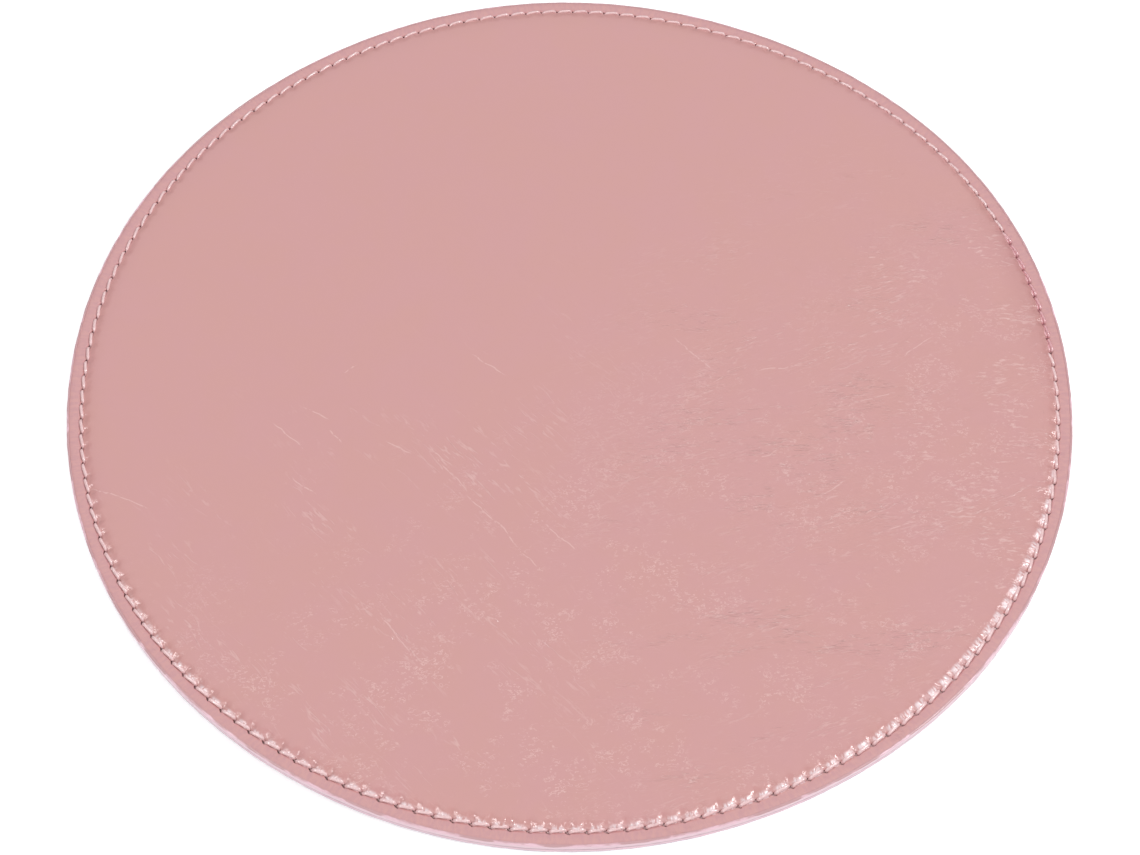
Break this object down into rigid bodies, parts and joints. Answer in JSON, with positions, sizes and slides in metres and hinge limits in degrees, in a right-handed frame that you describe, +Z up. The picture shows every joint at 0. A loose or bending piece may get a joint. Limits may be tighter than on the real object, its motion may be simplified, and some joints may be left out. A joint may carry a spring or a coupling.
{
  "type": "mouse pad",
  "caption": "Round flat desk pad for a mouse: puffed pink leatherette field, sewn rim, painted edge and a suede base that grips the desk.",
  "frame": {"origin": "centre of the underside, on the desk", "axes": "+Z up out of the field, through the centre of the disc; X and Y lie in the underside and are interchangeable"},
  "size_m": [0.22, 0.22, 0.0039],
  "materials": {
    "cover_leather": "satin",
    "base_suede": "matte",
    "core_foam": "matte",
    "glue_film": "satin",
    "edge_paint": "satin",
    "sewing_thread": "satin"
  },
  "bodies": {
    "root": {"top_cover": "cover_leather", "cover_glue_film": "glue_film", "foam_core": "core_foam", "base_glue_film": "glue_film", "base_sheet": "base_suede", "edge_paint": "edge_paint", "needle_thread": "sewing_thread", "bobbin_thread": "sewing_thread"}
  },
  "joints": []
}
